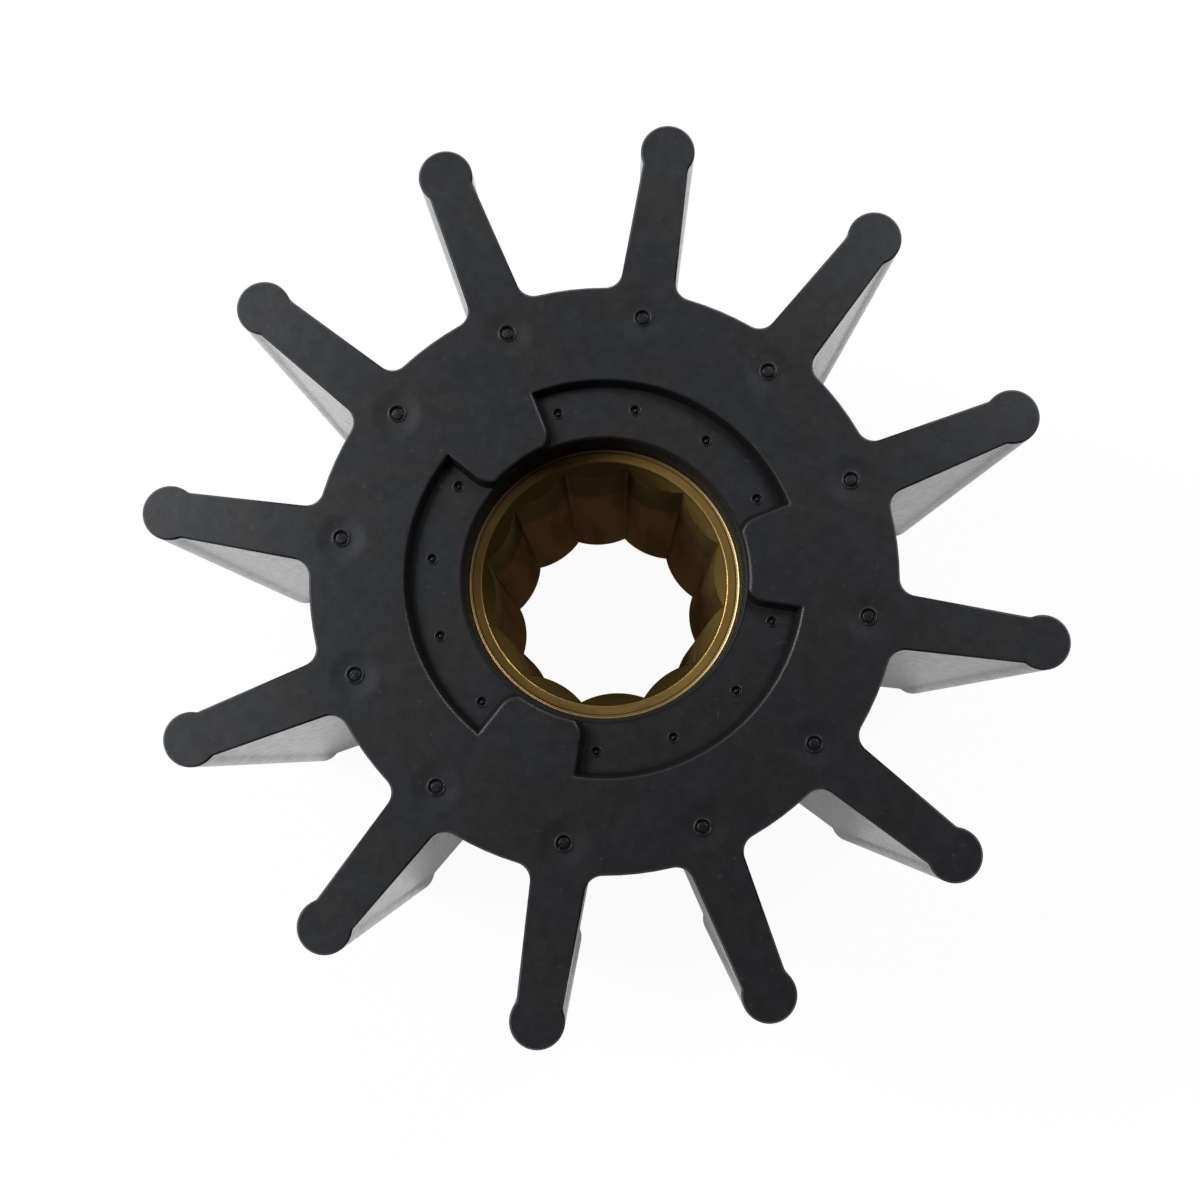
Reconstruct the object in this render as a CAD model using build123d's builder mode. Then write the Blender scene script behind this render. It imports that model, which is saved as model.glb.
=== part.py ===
from build123d import *
import math
import os

# Flexible pump impeller: a rubber hub with twelve bulb-tipped blades moulded round a brass bush.
# The axis is Z. The part stands on its rear end at z = 0, and the photographed end faces up.
# A blade points along +X. All sizes are in millimetres and degrees.

# Rubber hub and blades
BODY_LENGTH = 76.2
TIP_RADIUS = 47.625
HUB_RADIUS = 30.0
BLADE_COUNT = 12
BLADE_ROOT_THICKNESS = 5.7
BLADE_NECK_THICKNESS = 4.7
BULB_RADIUS = 2.8
ROOT_FILLET = 1.8
NECK_FILLET = 0.7
EDGE_BEVEL = 0.2

# Recess round the bore in each end face, and the lugs left standing in it. Its width runs from the
# mouth of the bore to its outer edge in the end face.
RECESS_WIDTH = 5.8625
RECESS_DEPTH = 1.4
RECESS_WALL_SLOPE = 20.0
LUG_COUNT = 3
LUG_ANGLE = 30.0
FIRST_LUG_AT = 15.0
LUG_CORNER_RADIUS = 2.2

# Shallow round marks that the mould's pins leave in the front face and in the floor of its recess.
# Their middles lie inset from the hub's surface and from the outer edge of the recess.
FACE_MARK_INSET = 2.95
FACE_MARK_RADIUS = 0.8
FLOOR_MARK_INSET = 2.65
FLOOR_MARK_RADIUS = 0.5
FLOOR_MARKS_PER_BAY = 4
FLOOR_MARK_STEP = 26.0
MARK_DEPTH = 0.35

# Mouth of the rubber's bore, outside the bush
MOUTH_FLARE = 0.2
MOUTH_BEVEL = 0.2

# Brass bush. Its wall is measured from the bottom of the grooves in its bore.
BUSH_WALL = 1.5875
BUSH_SETBACK = 6.35
BUSH_EDGE_CHAMFER = 0.25
SPLINE_COUNT = 12
SPLINE_GROOVE_RADIUS = 12.7
SPLINE_RISE = 1.15
SPLINE_TURN = -2.4
LEAD_IN_DEPTH = 1.1

# Sizes that follow from the ones above
bulb_centre = TIP_RADIUS - BULB_RADIUS
neck_half = BLADE_NECK_THICKNESS / 2
root_half = BLADE_ROOT_THICKNESS / 2
neck_at = bulb_centre - math.sqrt(BULB_RADIUS**2 - neck_half**2)
side_slope = (root_half - neck_half) / (neck_at - HUB_RADIUS)
buried = HUB_RADIUS - ROOT_FILLET
buried_half = root_half + side_slope * ROOT_FILLET
centre_half = neck_half - side_slope * (bulb_centre - neck_at)
bush_radius = SPLINE_GROOVE_RADIUS + BUSH_WALL
mouth_radius = bush_radius + MOUTH_FLARE
recess_radius = mouth_radius + RECESS_WIDTH
face_mark_circle = HUB_RADIUS - FACE_MARK_INSET
floor_mark_circle = recess_radius - FLOOR_MARK_INSET
lug_end_radius = mouth_radius + MOUTH_BEVEL
mouth_level = RECESS_DEPTH + MOUTH_BEVEL
bay_angle = 360 / LUG_COUNT
row_angle = FLOOR_MARK_STEP * (FLOOR_MARKS_PER_BAY - 1)
bush_length = BODY_LENGTH - 2 * BUSH_SETBACK
spline_tip_radius = SPLINE_GROOVE_RADIUS - SPLINE_RISE
spline_step = 360 / SPLINE_COUNT
front_plane = Plane.XY.offset(BODY_LENGTH)
floor_plane = Plane.XY.offset(BODY_LENGTH - RECESS_DEPTH)
mid_plane = Plane.XY.offset(BODY_LENGTH / 2)


def polar(radius, angle):
    return (radius * math.cos(math.radians(angle)), radius * math.sin(math.radians(angle)))


def radius_of(place):
    return math.hypot(place.X, place.Y)


def corners_on_circle(sketch, radius):
    return [v for v in sketch.vertices() if abs(radius_of(v) - radius) < 0.02]


def end_edges(part):
    # The edges that lie flat in the two end faces
    flat = [e for e in part.edges() if e.bounding_box().size.Z < 0.001]
    return [e for e in flat if min(abs(e.center().Z), abs(e.center().Z - BODY_LENGTH)) < 0.001]


# What each end of the rubber loses: the recess, with the lugs left standing in it. A lug is drawn
# a little too long, and the wider edge of the bore then cuts its end off flush.
with BuildPart() as recess_cutter:
    with BuildSketch(front_plane) as recess_outline:
        Circle(recess_radius)
        for lug in range(LUG_COUNT):
            start = FIRST_LUG_AT + lug * bay_angle - LUG_ANGLE / 2
            end = start + LUG_ANGLE
            reach = recess_radius + LUG_CORNER_RADIUS
            with BuildLine():
                Line(polar(mouth_radius, start), polar(reach, start))
                Line(polar(reach, start), polar(reach, end))
                Line(polar(reach, end), polar(mouth_radius, end))
                RadiusArc(polar(mouth_radius, end), polar(mouth_radius, start), mouth_radius)
            make_face(mode=Mode.SUBTRACT)
        fillet(corners_on_circle(recess_outline, mouth_radius), LUG_CORNER_RADIUS)
    extrude(amount=-RECESS_DEPTH, taper=RECESS_WALL_SLOPE)

# What the front end also loses: a mark on the line of each blade, and a row of marks in each bay
with BuildPart() as mark_cutter:
    with BuildSketch(front_plane):
        with PolarLocations(face_mark_circle, BLADE_COUNT):
            Circle(FACE_MARK_RADIUS)
    extrude(amount=-MARK_DEPTH)
    with BuildSketch(floor_plane):
        for bay in range(LUG_COUNT):
            first_mark = FIRST_LUG_AT + (bay + 0.5) * bay_angle - row_angle / 2
            with PolarLocations(floor_mark_circle, FLOOR_MARKS_PER_BAY, first_mark, row_angle, endpoint=True):
                Circle(FLOOR_MARK_RADIUS)
    extrude(amount=-MARK_DEPTH)

# The opening that the bush sits in, flared a little towards both ends. At each end its edge is
# bevelled at the recess floor, and again at the top of the lugs, which end flush with it.
with BuildPart() as bore_cutter:
    with BuildSketch(Plane.XZ):
        with BuildLine():
            Polyline(
                (0, 0),
                (lug_end_radius + MOUTH_BEVEL, 0),
                (lug_end_radius, MOUTH_BEVEL),
                (lug_end_radius, RECESS_DEPTH),
                (mouth_radius, mouth_level),
                (bush_radius, BUSH_SETBACK),
                (bush_radius, BODY_LENGTH - BUSH_SETBACK),
                (mouth_radius, BODY_LENGTH - mouth_level),
                (lug_end_radius, BODY_LENGTH - RECESS_DEPTH),
                (lug_end_radius, BODY_LENGTH - MOUTH_BEVEL),
                (lug_end_radius + MOUTH_BEVEL, BODY_LENGTH),
                (0, BODY_LENGTH),
                close=True,
            )
        make_face()
    revolve(axis=Axis.Z)

with BuildPart() as rubber_impeller:
    with BuildSketch() as outline:
        Circle(HUB_RADIUS)
        with PolarLocations(0, BLADE_COUNT):
            Polygon(
                (buried, -buried_half),
                (bulb_centre, -centre_half),
                (bulb_centre, centre_half),
                (buried, buried_half),
                align=None,
            )
        with PolarLocations(bulb_centre, BLADE_COUNT):
            Circle(BULB_RADIUS)
        fillet(corners_on_circle(outline, math.hypot(neck_at, neck_half)), NECK_FILLET)
        fillet(corners_on_circle(outline, HUB_RADIUS), ROOT_FILLET)
    extrude(amount=BODY_LENGTH)
    chamfer(end_edges(rubber_impeller), EDGE_BEVEL)
    add(recess_cutter.part, mode=Mode.SUBTRACT)
    add(recess_cutter.part.mirror(mid_plane), mode=Mode.SUBTRACT)
    add(mark_cutter.part, mode=Mode.SUBTRACT)
    add(bore_cutter.part, mode=Mode.SUBTRACT)
rubber_impeller.part.label = "rubber_impeller"

# What one end of the bore loses: a small bevel at the face, then the cone that leads a shaft in
with BuildPart() as lead_in_cutter:
    with BuildSketch(Plane.XZ):
        face = BODY_LENGTH - BUSH_SETBACK
        with BuildLine():
            Polyline(
                (0, face),
                (SPLINE_GROOVE_RADIUS + BUSH_EDGE_CHAMFER, face),
                (SPLINE_GROOVE_RADIUS, face - BUSH_EDGE_CHAMFER),
                (spline_tip_radius, face - BUSH_EDGE_CHAMFER - LEAD_IN_DEPTH),
                (0, face - BUSH_EDGE_CHAMFER - LEAD_IN_DEPTH),
                close=True,
            )
        make_face()
    revolve(axis=Axis.Z)

with BuildPart() as splined_bush:
    with BuildSketch(Plane.XY.offset(BUSH_SETBACK)):
        Circle(bush_radius)
        with BuildLine():
            for spline in range(SPLINE_COUNT):
                groove = SPLINE_TURN + spline * spline_step
                ThreePointArc(
                    polar(SPLINE_GROOVE_RADIUS, groove),
                    polar(spline_tip_radius, groove + spline_step / 2),
                    polar(SPLINE_GROOVE_RADIUS, groove + spline_step),
                )
        make_face(mode=Mode.SUBTRACT)
    extrude(amount=bush_length)
    rims = splined_bush.edges().filter_by(GeomType.CIRCLE).group_by(SortBy.RADIUS)[-1]
    chamfer(rims, BUSH_EDGE_CHAMFER)
    add(lead_in_cutter.part, mode=Mode.SUBTRACT)
    add(lead_in_cutter.part.mirror(mid_plane), mode=Mode.SUBTRACT)
splined_bush.part.label = "splined_bush"

os.makedirs("parts", exist_ok=True)
export_step(rubber_impeller.part, "parts/rubber_impeller.step")
export_step(splined_bush.part, "parts/splined_bush.step")
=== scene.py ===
import math

import bpy
from mathutils import Matrix, Vector


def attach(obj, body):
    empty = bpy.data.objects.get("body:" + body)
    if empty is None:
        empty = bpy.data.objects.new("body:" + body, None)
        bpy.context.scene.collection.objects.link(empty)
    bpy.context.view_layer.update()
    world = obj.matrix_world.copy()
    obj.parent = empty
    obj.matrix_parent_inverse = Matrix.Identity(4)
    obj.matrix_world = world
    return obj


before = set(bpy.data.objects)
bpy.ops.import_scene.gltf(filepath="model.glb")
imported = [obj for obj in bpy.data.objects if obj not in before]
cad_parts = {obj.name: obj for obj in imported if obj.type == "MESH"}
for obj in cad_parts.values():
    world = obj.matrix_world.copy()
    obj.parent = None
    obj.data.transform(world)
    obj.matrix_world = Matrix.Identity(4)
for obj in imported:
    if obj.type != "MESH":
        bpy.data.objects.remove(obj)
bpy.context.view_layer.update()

# Sizes repeated from the part's source, in metres: places on the part that the looks depend on.
# BLADE_STEP is in radians, and the angles of the marks in the recess are in degrees.
BODY_LENGTH = 0.0762
MID_LENGTH = BODY_LENGTH / 2
BLADE_COUNT = 12
BLADE_STEP = 2 * math.pi / BLADE_COUNT
FACE_MARK_CIRCLE = 0.02705
FLOOR_MARK_CIRCLE = 0.0177
BAY_ANGLES = (75, 195, 315)
BAY_MARK_ANGLES = (-39, -13, 13, 39)
RECESS_DEPTH = 0.0014
BUSH_SETBACK = 0.00635


class Nodes:
    """Makes the nodes of one material or world. Most calls return the socket that a node gives."""

    def __init__(self, owner):
        owner.use_nodes = True
        self.owner = owner
        self.tree = owner.node_tree
        self.tree.nodes.clear()

    def node(self, kind, inputs=None, **settings):
        made = self.tree.nodes.new(kind)
        for key, value in settings.items():
            setattr(made, key, value)
        for key, value in (inputs or {}).items():
            if isinstance(value, bpy.types.NodeSocket):
                self.tree.links.new(value, made.inputs[key])
            else:
                made.inputs[key].default_value = value
        return made

    def add(self, kind, inputs=None, output=0, **settings):
        return self.node(kind, inputs, **settings).outputs[output]

    def calc(self, operation, *values):
        return self.add("ShaderNodeMath", dict(enumerate(values)), operation=operation)

    def plus(self, first, second):
        return self.calc("ADD", first, second)

    def minus(self, first, second):
        return self.calc("SUBTRACT", first, second)

    def times(self, first, second):
        return self.calc("MULTIPLY", first, second)

    def absolute(self, value):
        return self.calc("ABSOLUTE", value)

    def length(self, x, y):
        return self.calc("SQRT", self.plus(self.times(x, x), self.times(y, y)))

    def span(self, value, start, end, low=0.0, high=1.0):
        """Goes smoothly from low to high as value goes from start to end."""
        inputs = {"Value": value, "From Min": start, "From Max": end, "To Min": low, "To Max": high}
        return self.add("ShaderNodeMapRange", inputs, interpolation_type="SMOOTHSTEP")

    def noise(self, place, size, detail=2.0, roughness=0.5):
        inputs = {"Vector": place, "Scale": 1 / size, "Detail": detail, "Roughness": roughness}
        return self.add("ShaderNodeTexNoise", inputs)

    # A mix node takes its factor at input 0, two numbers at 2 and 3, two vectors at 4 and 5, and two
    # colours at 6 and 7. It gives a number, a vector and a colour at outputs 0, 1 and 2.
    def mix(self, factor, low, high):
        return self.add("ShaderNodeMix", {0: factor, 2: low, 3: high})

    def mix_vectors(self, factor, low, high):
        inputs = {0: factor, 4: low, 5: high}
        return self.add("ShaderNodeMix", inputs, output=1, data_type="VECTOR")

    def tint(self, factor, low, high):
        """Mixes two colours, each of them three plain numbers or a socket."""
        colours = [c if isinstance(c, bpy.types.NodeSocket) else (*c, 1) for c in (low, high)]
        inputs = {0: factor, 6: colours[0], 7: colours[1]}
        return self.add("ShaderNodeMix", inputs, output=2, data_type="RGBA")

    def mix_shaders(self, factor, low, high):
        return self.add("ShaderNodeMixShader", {0: factor, 1: low, 2: high})

    def join(self, x, y, z):
        return self.add("ShaderNodeCombineXYZ", {"X": x, "Y": y, "Z": z})

    def split(self, vector):
        parts = self.node("ShaderNodeSeparateXYZ", {0: vector})
        return parts.outputs[0], parts.outputs[1], parts.outputs[2]

    def place(self):
        return self.add("ShaderNodeTexCoord", output="Object")

    def normal(self):
        return self.add("ShaderNodeNewGeometry", output="Normal")

    def bevel(self, radius):
        return self.add("ShaderNodeBevel", {"Radius": radius}, samples=6)

    def bump(self, height, normal):
        inputs = {"Height": height, "Distance": 1.0, "Strength": 1.0, "Normal": normal}
        return self.add("ShaderNodeBump", inputs)

    def finish(self, shader, kind="ShaderNodeOutputMaterial"):
        self.node(kind, {"Surface": shader})
        return self.owner


# The rubber. Pairs go from where a look begins to where it is full: distances from the axis, depths
# below the nearer end face, how far a surface faces along the axis, and values of a noise.
RECESS_ZONE = (0.0215, 0.0211)
BORE_ZONE = (0.0149, 0.0147)
TOE_ZONE = (0.0192, 0.0202)
RUBBED_ZONE = (0.024, 0.044)
SUNK_DEPTHS = (0.0003, 0.0011)
WALL_DEPTHS = (-0.0012, 0.0009)
RIM_DEPTHS = (0.0009, 0.0005)
END_FACE_TILTS = (0.55, 0.9)
NOISE_MIDDLE = (0.3, 0.7)
SHEEN_MIDDLE = (0.35, 0.65)
SPECK_PEAKS = (0.72, 0.78)

# Sizes of the textures in the rubber, and the relief of its surface. A dish and a ragged edge lie
# round each mark in the face, and their pairs are distances from the middle of the mark.
CLOUD_SIZE = 0.007
MOTTLE_SIZE = 0.0012
MOTTLE_HEIGHT = 0.000012
GRAIN_SIZE = 0.00028
GRAIN_HEIGHT = 0.000003
SPECK_SIZE = 0.0006
DISH_SPAN = (0.0008, 0.0028)
DISH_DEPTH = 0.00008
RAGGED_SPAN = (0.0011, 0.0007)
RAGGED_SIZE = 0.00035
RAGGED_HEIGHT = 0.00007
RIM_ROUNDING = 0.0004

# Colours, roughness and specular levels of the rubber. A share says how much of its colour shows,
# and a gain multiplies the specular level.
RUBBER_DEEP = (0.0024, 0.0024, 0.0027)
RUBBER_WORN = (0.0034, 0.0034, 0.0038)
SPECK_COLOUR = (0.03, 0.03, 0.03)
SPECK_SHARE = 0.4
# Painted shade: the toe of the walls of the recess is darkened towards black and reflects less
TOE_PAINTED_SHADE = (0.0, 0.0, 0.0)
TOE_SHADE_SHARE = 0.6
TOE_SHADE_STRENGTH = 0.8
FACE_SHEEN_PALE = (0.96, 0.98, 1.0)
FACE_SHEEN_BLUE = (0.90, 0.94, 1.0)
FLANK_SHEEN = (1.0, 1.0, 0.97)
FLANK_ROUGHNESS = (0.17, 0.25)
FACE_ROUGHNESS = (0.39, 0.43)
WALL_ROUGHNESS = 0.7
PART_SPECULAR = 0.65
PIN_SPECULAR = 0.35
WALL_SPECULAR = 0.16
BORE_SPECULAR = 0.3
TIP_GAIN = 1.22
TOE_SHADE_GAIN = 0.36


def rubber_zones(s, place, reach):
    """How far, from 0 to 1, a point of the rubber lies in each of the places that look different."""
    depth = s.minus(MID_LENGTH, s.absolute(s.minus(s.split(place)[2], MID_LENGTH)))
    end_face = s.span(s.absolute(s.split(s.normal())[2]), *END_FACE_TILTS)
    side = s.minus(1.0, end_face)
    inner = s.span(reach, *RECESS_ZONE)
    sunk = s.times(s.span(depth, *SUNK_DEPTHS), inner)
    return {
        "end_face": end_face,
        "side": side,
        "wall": s.times(s.times(inner, side), s.span(depth, *WALL_DEPTHS)),
        # The toe of the walls of the recess, where shade is painted
        "toe": s.times(sunk, s.span(reach, *TOE_ZONE, 0.0, TOE_SHADE_STRENGTH)),
        "bore": s.span(reach, *BORE_ZONE),
        "rim": s.times(inner, s.span(depth, *RIM_DEPTHS)),
    }


def rubber_colour(s, place, cloud, zones):
    specks = s.span(s.noise(place, SPECK_SIZE, detail=1.0), *SPECK_PEAKS)
    colour = s.tint(s.span(cloud, *NOISE_MIDDLE), RUBBER_DEEP, RUBBER_WORN)
    colour = s.tint(s.times(specks, SPECK_SHARE), colour, SPECK_COLOUR)
    # Painted shade at the toe of the walls of the recess
    return s.tint(s.times(zones["toe"], TOE_SHADE_SHARE), colour, TOE_PAINTED_SHADE)


def rubber_roughness(s, mottle, zones):
    flank = s.span(mottle, *NOISE_MIDDLE, *FLANK_ROUGHNESS)
    face = s.span(mottle, *NOISE_MIDDLE, *FACE_ROUGHNESS)
    return s.mix(zones["wall"], s.mix(zones["end_face"], flank, face), WALL_ROUGHNESS)


def rubber_specular(s, reach, near_hub, zones):
    """Specular level: near_hub at the hub, higher at the rubbed tips of the blades, and low on the
    walls of the recess and the bore."""
    level = s.span(reach, *RUBBED_ZONE, near_hub, TIP_GAIN * near_hub)
    # Painted shade: the specular level drops at the toe of the recess
    level = s.times(level, s.mix(zones["toe"], 1.0, TOE_SHADE_GAIN))
    return s.mix(zones["bore"], s.mix(zones["wall"], level, WALL_SPECULAR), BORE_SPECULAR)


def rubber_sheen(s, cloud, zones):
    face = s.tint(s.span(cloud, *SHEEN_MIDDLE), FACE_SHEEN_PALE, FACE_SHEEN_BLUE)
    return s.tint(zones["side"], face, FLANK_SHEEN)


def to_nearest_mark(s, place):
    """Distance to the nearest round mark in the face. Each mark lies in line with a blade."""
    x, y = s.split(place)[:2]
    turn = s.calc("ARCTAN2", y, x)
    blade = s.times(s.calc("ROUND", s.calc("DIVIDE", turn, BLADE_STEP)), BLADE_STEP)
    off_x = s.minus(x, s.times(s.calc("COSINE", blade), FACE_MARK_CIRCLE))
    off_y = s.minus(y, s.times(s.calc("SINE", blade), FACE_MARK_CIRCLE))
    return s.length(off_x, off_y)


def rubber_normal(s, place, mottle, zones):
    """Relief of the surface. The shading rounds the upper edges of the recess and its lugs, and no
    others."""
    off = to_nearest_mark(s, place)
    dish = s.span(off, *DISH_SPAN, 0.0, DISH_DEPTH)
    mark_edge = s.span(off, *RAGGED_SPAN, 0.0, RAGGED_HEIGHT)
    ragged = s.times(s.noise(place, RAGGED_SIZE, detail=3.0, roughness=0.6), mark_edge)
    grain = s.noise(place, GRAIN_SIZE, roughness=0.6)
    height = s.plus(dish, s.times(mottle, MOTTLE_HEIGHT))
    height = s.plus(height, s.times(grain, GRAIN_HEIGHT))
    height = s.plus(height, ragged)
    return s.bump(height, s.mix_vectors(zones["rim"], s.normal(), s.bevel(RIM_ROUNDING)))


def rubber(name, near_hub):
    """Black moulded rubber: satin on the end faces, glossier on the sides of the blades, dull on the
    walls of the recess, with painted shade at their toe."""
    s = Nodes(bpy.data.materials.new(name))
    place = s.place()
    reach = s.length(*s.split(place)[:2])
    zones = rubber_zones(s, place, reach)
    cloud = s.noise(place, CLOUD_SIZE, detail=3.0)
    mottle = s.noise(place, MOTTLE_SIZE, detail=4.0, roughness=0.6)
    surface = {
        "Base Color": rubber_colour(s, place, cloud, zones),
        "Roughness": rubber_roughness(s, mottle, zones),
        "Specular IOR Level": rubber_specular(s, reach, near_hub, zones),
        "Specular Tint": rubber_sheen(s, cloud, zones),
        "Normal": rubber_normal(s, place, mottle, zones),
    }
    return s.finish(s.add("ShaderNodeBsdfPrincipled", surface))


# The brass. Pairs go from where a look begins to where it is full, as above, and those of the groove
# inside the lip are distances from its middle. Angles are in degrees.
CONE_ZONE = (0.0130, 0.0128)
LIP_ZONE = (0.01400, 0.01410)
GROOVE_RADIUS = 0.01388
GROOVE_SPAN = (0.00012, 0.00003)
CONE_TILTS = (0.95, 0.8)
WALL_TILTS = (0.5, 0.3)
# Painted shade: the turned faces are darker along stretches round these angles, where the rubber's
# mouth shades the ring
SHADED_ANGLES = (283, 160)
SHADED_SPAN = (0.85, 1.15)
# Painted highlight: the lip is brighter along a stretch round this angle
LIP_HIGHLIGHT_ANGLE = 7
LIP_HIGHLIGHT_SPAN = (0.7, 1.15)
UNEVENNESS = 0.3
TARNISH_SPAN = (0.88, 1.16)
BLOTCH_SPAN = (0.40, 0.68)

# Sizes of the textures in the brass, and the relief of its surface. The dark end of the bore is
# measured from the middle of the part.
TARNISH_SIZE = 0.004
STREAK_WIDTH = 0.00035
STREAKS_AROUND = 5.0
LATHE_RING_SIZE = 0.00012
LATHE_RING_HEIGHT = 0.000004
PIT_SIZE = 0.0005
PIT_HEIGHT = 0.000004
GROOVE_DEPTH = 0.00002
EDGE_ROUNDING = 0.00012
SPLINE_ROUNDING = 0.0006
BLOTCH_SIZE = 0.0036
BLOTCH_SQUEEZE = 0.1
DARK_END_SPAN = (0.0182, 0.0226)
DARK_END_WANDER = 0.010
WANDER_SIZE = 0.006

# Colours and roughness of the brass, with the shares of the colours that show in part
BRASS_CLEAN = (0.60, 0.40, 0.13)
BRASS_TARNISHED = (0.44, 0.26, 0.08)
# Painted shade on the turned faces
BRASS_PAINTED_SHADE = (0.22, 0.14, 0.05)
PAINTED_SHADE_SHARE = 0.75
BRASS_CONE = (0.25, 0.17, 0.048)
# The lip's colour away from its painted highlight, and the painted highlight
LIP_PLAIN = (0.20, 0.17, 0.11)
LIP_PAINTED_HIGHLIGHT = (0.64, 0.53, 0.35)
LIP_SHARE = 0.8
# Painted shade in the groove inside the lip, which is also cut in the relief as a bump
GROOVE_PAINTED_SHADE = (0.10, 0.05, 0.015)
GROOVE_SHADE_SHARE = 0.6
STAIN = (0.115, 0.057, 0.022)
BORE_DARKER_FRONT = (0.062, 0.040, 0.016)
STAIN_BLOTCH = (0.030, 0.017, 0.008)
BLOTCH_SHARE = 0.5
BRASS_ROUGHNESS = (0.40, 0.48)
CONE_ROUGHNESS = 0.28
LIP_ROUGHNESS = 0.52
STAIN_ROUGHNESS = 0.3


def brass_zones(s, reach):
    """How far, from 0 to 1, a point of the bush lies in each of the places that look different."""
    facing = s.absolute(s.split(s.normal())[2])
    wall = s.span(facing, *WALL_TILTS)
    face = s.minus(1.0, wall)
    return {
        "wall": wall,
        "face": face,
        "cone": s.times(s.span(facing, *CONE_TILTS), s.span(reach, *CONE_ZONE)),
        "lip": s.times(face, s.span(reach, *LIP_ZONE)),
        "groove": s.span(s.absolute(s.minus(reach, GROOVE_RADIUS)), *GROOVE_SPAN),
    }


def brass_colour(s, way_x, way_y, cloud, tarnish, zones):
    """Colour of the turned faces, with painted shade along two stretches. The lip has a painted
    highlight along one.
    """

    def stretch(angle, span):
        """A stretch of the ring, round the given angle, with uneven ends."""
        turned = math.radians(angle)
        along = s.plus(s.times(way_x, math.cos(turned)), s.times(way_y, math.sin(turned)))
        return s.span(s.plus(along, s.times(cloud, UNEVENNESS)), *span)

    # Painted shade along two stretches of the turned faces
    shaded_stretches = [stretch(angle, SHADED_SPAN) for angle in SHADED_ANGLES]
    painted_shade = s.times(zones["face"], s.calc("MAXIMUM", *shaded_stretches))
    # Painted highlight along one stretch of the lip
    lip = s.tint(stretch(LIP_HIGHLIGHT_ANGLE, LIP_HIGHLIGHT_SPAN), LIP_PLAIN, LIP_PAINTED_HIGHLIGHT)
    colour = s.tint(tarnish, BRASS_CLEAN, BRASS_TARNISHED)
    colour = s.tint(s.times(painted_shade, PAINTED_SHADE_SHARE), colour, BRASS_PAINTED_SHADE)
    colour = s.tint(zones["cone"], colour, BRASS_CONE)
    colour = s.tint(s.times(zones["lip"], LIP_SHARE), colour, lip)
    # Painted shade in the groove
    return s.tint(s.times(zones["groove"], GROOVE_SHADE_SHARE), colour, GROOVE_PAINTED_SHADE)


def brass_roughness(s, tarnish, zones):
    rough = s.mix(tarnish, *BRASS_ROUGHNESS)
    rough = s.mix(zones["cone"], rough, CONE_ROUGHNESS)
    return s.mix(zones["lip"], rough, LIP_ROUGHNESS)


def brass_stain(s, place):
    """Colour of the bore: stained blotches drawn out along it, and darker towards its front end."""
    x, y, z = s.split(place)
    wander = s.times(s.noise(place, WANDER_SIZE), DARK_END_WANDER)
    dark_end = s.span(s.plus(s.minus(z, MID_LENGTH), wander), *DARK_END_SPAN)
    drawn_out = s.join(x, y, s.times(z, BLOTCH_SQUEEZE))
    blotch = s.span(s.noise(drawn_out, BLOTCH_SIZE), *BLOTCH_SPAN, 0.0, BLOTCH_SHARE)
    return s.tint(blotch, s.tint(dark_end, STAIN, BORE_DARKER_FRONT), STAIN_BLOTCH)


def brass_normal(s, place, reach, zones):
    """Fine rings left by the lathe on the end faces, pits, the groove, and softened edges."""
    rings = s.noise(s.join(reach, 0.0, 0.0), LATHE_RING_SIZE, detail=3.0, roughness=0.7)
    height = s.times(s.times(rings, zones["face"]), LATHE_RING_HEIGHT)
    height = s.plus(height, s.times(s.noise(place, PIT_SIZE), PIT_HEIGHT))
    height = s.minus(height, s.times(zones["groove"], GROOVE_DEPTH))
    return s.bump(height, s.bevel(s.mix(zones["wall"], EDGE_ROUNDING, SPLINE_ROUNDING)))


def brass():
    """Turned brass, tarnished in streaks round its faces, with painted shade and a painted highlight
    along stretches of its ring, and a stained bore.
    """
    s = Nodes(bpy.data.materials.new("turned_brass"))
    place = s.place()
    x, y = s.split(place)[:2]
    reach = s.length(x, y)
    way_x = s.calc("DIVIDE", x, reach)
    way_y = s.calc("DIVIDE", y, reach)
    zones = brass_zones(s, reach)

    # Streaks are a noise that is fine across the ring and long around it
    across = s.calc("DIVIDE", reach, STREAK_WIDTH)
    ring_place = s.join(across, s.times(way_x, STREAKS_AROUND), s.times(way_y, STREAKS_AROUND))
    streaks = s.noise(ring_place, 1.0, detail=3.0, roughness=0.6)
    cloud = s.noise(place, TARNISH_SIZE, detail=4.0, roughness=0.6)
    tarnish = s.span(s.plus(cloud, streaks), *TARNISH_SPAN)

    normal = brass_normal(s, place, reach, zones)
    metal = {
        "Base Color": brass_colour(s, way_x, way_y, cloud, tarnish, zones),
        "Roughness": brass_roughness(s, tarnish, zones),
        "Metallic": 1.0,
        "Normal": normal,
    }
    bright = s.add("ShaderNodeBsdfPrincipled", metal)
    stain = {"Color": brass_stain(s, place), "Normal": normal}
    dull = s.add("ShaderNodeBsdfDiffuse", stain)
    gloss = s.add("ShaderNodeBsdfAnisotropic", {**stain, "Roughness": STAIN_ROUGHNESS})
    stained = s.add("ShaderNodeAddShader", {0: dull, 1: gloss})
    return s.finish(s.mix_shaders(zones["wall"], bright, stained))


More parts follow.
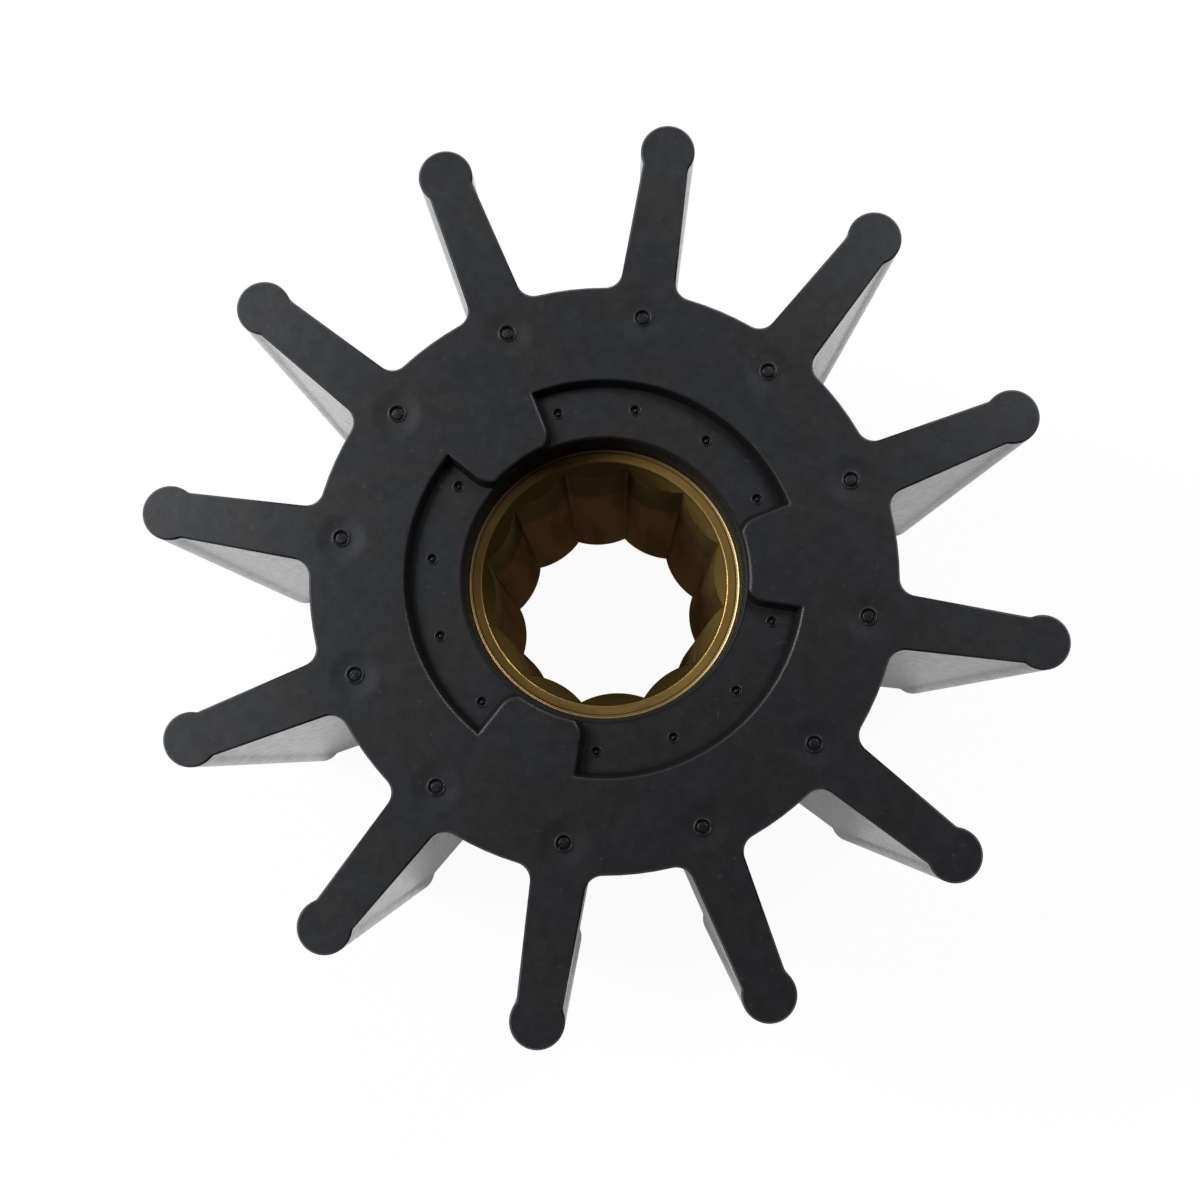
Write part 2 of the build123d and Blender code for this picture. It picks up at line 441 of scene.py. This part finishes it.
# The mark that each pin of the mould leaves, as (radius, height) points outwards from the middle of
# its top, and then back to the middle of its bottom: a low core, a narrow trench and a raised lip
FACE_PIN_PROFILE = [
    (0.0, -0.00010),
    (0.00044, -0.00010),
    (0.00051, -0.00011),
    (0.00057, -0.00020),
    (0.00062, -0.00024),
    (0.00068, -0.00018),
    (0.00074, -0.00004),
    (0.00080, 0.00003),
    (0.00086, 0.00005),
    (0.00092, 0.00002),
    (0.00097, -0.00002),
    (0.00099, -0.00006),
    (0.00098, -0.00042),
    (0.0, -0.00042),
]
FACE_PIN_SEGMENTS = 36
FLOOR_PIN_PROFILE = [
    (0.0, -0.00014),
    (0.00012, -0.00014),
    (0.00018, -0.00018),
    (0.00024, -0.00030),
    (0.00034, -0.00034),
    (0.00042, -0.00030),
    (0.00047, -0.00012),
    (0.00051, 0.00001),
    (0.00056, 0.00003),
    (0.00062, 0.00001),
    (0.00068, -0.00002),
    (0.00070, -0.00006),
    (0.00069, -0.00042),
    (0.0, -0.00042),
]
FLOOR_PIN_SEGMENTS = 24

# The thin raised lip that the lathe left round the outside of each end of the bush, as a closed loop
# of (radius, height) points
LIP_PROFILE = [
    (0.01398, -0.00010),
    (0.01404, 0.0),
    (0.01411, 0.00003),
    (0.01417, 0.00006),
    (0.01422, 0.00005),
    (0.014262, 0.0),
    (0.014275, -0.00006),
    (0.014275, -0.00020),
    (0.01398, -0.00020),
]
LIP_SEGMENTS = 144


def on_circle(radius, turn):
    return radius * math.cos(turn), radius * math.sin(turn)


def add_piece(name, verts, faces):
    mesh = bpy.data.meshes.new(name)
    mesh.from_pydata(verts, [], faces)
    mesh.shade_smooth()
    piece = bpy.data.objects.new(name, mesh)
    bpy.context.scene.collection.objects.link(piece)
    return piece


def plugs(name, profile, segments, places, base):
    """Closed turned plugs, one at each place. Height 0 of their profile lies at base."""
    rings = profile[1:-1]
    verts = []
    faces = []
    for centre_x, centre_y in places:
        top = len(verts)
        bottom = top + 1
        first = top + 2
        last = first + (len(rings) - 1) * segments
        verts.append((centre_x, centre_y, base + profile[0][1]))
        verts.append((centre_x, centre_y, base + profile[-1][1]))
        for radius, height in rings:
            for k in range(segments):
                off_x, off_y = on_circle(radius, 2 * math.pi * k / segments)
                verts.append((centre_x + off_x, centre_y + off_y, base + height))
        for k in range(segments):
            following = (k + 1) % segments
            faces.append((top, first + k, first + following))
            faces.append((bottom, last + following, last + k))
            for inner in range(first, last, segments):
                outer = inner + segments
                faces.append((inner + k, outer + k, outer + following, inner + following))
    return add_piece(name, verts, faces)


def turned_ring(name, profile, segments):
    """A closed ring turned about the axis. Its profile runs clockwise, with the radius to the right."""
    count = len(profile)
    verts = []
    faces = []
    for k in range(segments):
        turn = 2 * math.pi * k / segments
        verts += [(*on_circle(radius, turn), height) for radius, height in profile]
        here = k * count
        there = (k + 1) % segments * count
        for p in range(count):
            following = (p + 1) % count
            faces.append((here + p, here + following, there + following, there + p))
    return add_piece(name, verts, faces)


def add_pins():
    """The marks of the mould's pins in the front face and in the floor of its recess."""
    face_places = [on_circle(FACE_MARK_CIRCLE, k * BLADE_STEP) for k in range(BLADE_COUNT)]
    floor_angles = [bay + row for bay in BAY_ANGLES for row in BAY_MARK_ANGLES]
    floor_places = [on_circle(FLOOR_MARK_CIRCLE, math.radians(angle)) for angle in floor_angles]
    floor_height = BODY_LENGTH - RECESS_DEPTH
    return [
        plugs("face_pin_marks", FACE_PIN_PROFILE, FACE_PIN_SEGMENTS, face_places, BODY_LENGTH),
        plugs("floor_pin_marks", FLOOR_PIN_PROFILE, FLOOR_PIN_SEGMENTS, floor_places, floor_height),
    ]


def add_lips():
    """The lips of the bush. The rear one is the front one upside down."""
    face_height = BODY_LENGTH - BUSH_SETBACK
    front = [(radius, face_height + height) for radius, height in LIP_PROFILE]
    rear = [(radius, BUSH_SETBACK - height) for radius, height in reversed(LIP_PROFILE)]
    return [
        turned_ring("bush_lip_front", front, LIP_SEGMENTS),
        turned_ring("bush_lip_rear", rear, LIP_SEGMENTS),
    ]


def dress(piece, material):
    piece.data.materials.clear()
    piece.data.materials.append(material)


# The studio: a pale round floor, a plain room and two soft lamps that point at the part. Levels of
# the room are strengths of white light, and those of the floor are shares of its glow.
WHITE = (1, 1, 1, 1)
FLOOR_COLOUR = (0.9, 0.9, 0.9, 1)
FLOOR_RADIUS = 2.5
FLOOR_HEIGHT = -0.0002
FLOOR_CORNERS = 96
FLOOR_LEVEL_SEEN = 0.95
FLOOR_LEVEL_MIRRORED = 0.28
ROOM_LEVEL = 0.3
KEY_SIDE_X = -0.85
KEY_SIDE_Y = 0.53
SIDE_SPAN = (-0.6, 0.6)
FAR_SIDE_LEVEL = 0.07
HEIGHT_SPAN = (0.1, 0.95)
OVERHEAD_LEVEL = 0.03
LAMP_AIM = (0, 0, 0.06)
KEY_PLACE = (-0.765, 0.11, 0.73)
KEY_SIZE = 0.5
KEY_WATTS = 11.1
FILL_PLACE = (0.46, 0.61, 0.70)
FILL_SIZE = 0.4
FILL_WATTS = 5.6

# The camera stands 5 degrees off the impeller's axis, above its front end. Its right and up are
# close to square, and are made square where they are used.
CAMERA_RIGHT = Vector((0.98891, 0.14818, -0.01053)).normalized()
CAMERA_UP = Vector((-0.14673, 0.98540, 0.08639))
CAMERA_PLACE = (0.003936, -0.016757, 0.24727)
SENSOR_WIDTH = 36
FOCAL_LENGTH = 50.861
CLIP_START = 0.005


def white_floor():
    """A matte floor that keeps the shadow, mixed with a white glow: nearly all glow to the camera,
    and partly glow where the part mirrors it."""
    s = Nodes(bpy.data.materials.new("white_floor"))
    path = s.node("ShaderNodeLightPath").outputs
    mirrored = s.calc("MAXIMUM", path["Is Glossy Ray"], path["Is Transmission Ray"])
    seen_level = s.times(path["Is Camera Ray"], FLOOR_LEVEL_SEEN)
    share = s.calc("MAXIMUM", seen_level, s.times(mirrored, FLOOR_LEVEL_MIRRORED))
    matte = s.add("ShaderNodeBsdfDiffuse", {"Color": FLOOR_COLOUR})
    glow = s.add("ShaderNodeEmission", {"Color": WHITE, "Strength": 1.0})
    return s.finish(s.mix_shaders(share, matte, glow))


def add_floor():
    turns = [2 * math.pi * k / FLOOR_CORNERS for k in range(FLOOR_CORNERS)]
    corners = [(*on_circle(FLOOR_RADIUS, turn), FLOOR_HEIGHT) for turn in turns]
    mesh = bpy.data.meshes.new("floor")
    mesh.from_pydata(corners, [], [tuple(range(FLOOR_CORNERS))])
    mesh.materials.append(white_floor())
    made = bpy.data.objects.new("floor", mesh)
    bpy.context.scene.collection.objects.link(made)


def add_room():
    """A plain room, white to the camera. Mirrored in the part, it is pale low down on the key's side
    and dark overhead."""
    s = Nodes(bpy.data.worlds.new("studio"))
    path = s.node("ShaderNodeLightPath").outputs
    x, y, z = s.split(s.add("ShaderNodeTexCoord", output="Generated"))
    side = s.plus(s.times(x, KEY_SIDE_X), s.times(y, KEY_SIDE_Y))
    low_band = s.span(z, *HEIGHT_SPAN, 1.0, OVERHEAD_LEVEL)
    mirrored = s.times(low_band, s.span(side, *SIDE_SPAN, FAR_SIDE_LEVEL, 1.0))
    level = s.mix(path["Is Glossy Ray"], ROOM_LEVEL, mirrored)
    level = s.mix(path["Is Camera Ray"], level, 1.0)
    back = s.add("ShaderNodeBackground", {"Color": WHITE, "Strength": level})
    bpy.context.scene.world = s.finish(back, "ShaderNodeOutputWorld")


def add_softbox(name, place, size, watts):
    data = bpy.data.lights.new(name, "AREA")
    data.shape = "SQUARE"
    data.size = size
    data.energy = watts
    lamp = bpy.data.objects.new(name, data)
    lamp.location = place
    lamp.rotation_euler = (Vector(LAMP_AIM) - Vector(place)).to_track_quat("-Z", "Y").to_euler()
    bpy.context.scene.collection.objects.link(lamp)


def add_camera():
    back = CAMERA_RIGHT.cross(CAMERA_UP).normalized()
    up = back.cross(CAMERA_RIGHT)
    data = bpy.data.cameras.new("camera")
    data.sensor_width = SENSOR_WIDTH
    data.lens = FOCAL_LENGTH
    data.clip_start = CLIP_START
    camera = bpy.data.objects.new("camera", data)
    bpy.context.scene.collection.objects.link(camera)
    turn = Matrix((CAMERA_RIGHT, up, back)).transposed().to_4x4()
    camera.matrix_world = Matrix.Translation(CAMERA_PLACE) @ turn
    bpy.context.scene.camera = camera


rubber_skin = rubber("moulded_rubber", PART_SPECULAR)
pin_skin = rubber("pin_mark_rubber", PIN_SPECULAR)
brass_skin = brass()
dress(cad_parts["rubber_impeller"], rubber_skin)
dress(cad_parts["splined_bush"], brass_skin)

for piece in add_pins():
    dress(piece, pin_skin)
    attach(piece, "root")
for piece in add_lips():
    dress(piece, brass_skin)
    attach(piece, "root")

add_floor()
add_room()
add_softbox("key", KEY_PLACE, KEY_SIZE, KEY_WATTS)
add_softbox("fill", FILL_PLACE, FILL_SIZE, FILL_WATTS)
add_camera()
bpy.context.scene.view_settings.view_transform = "Standard"
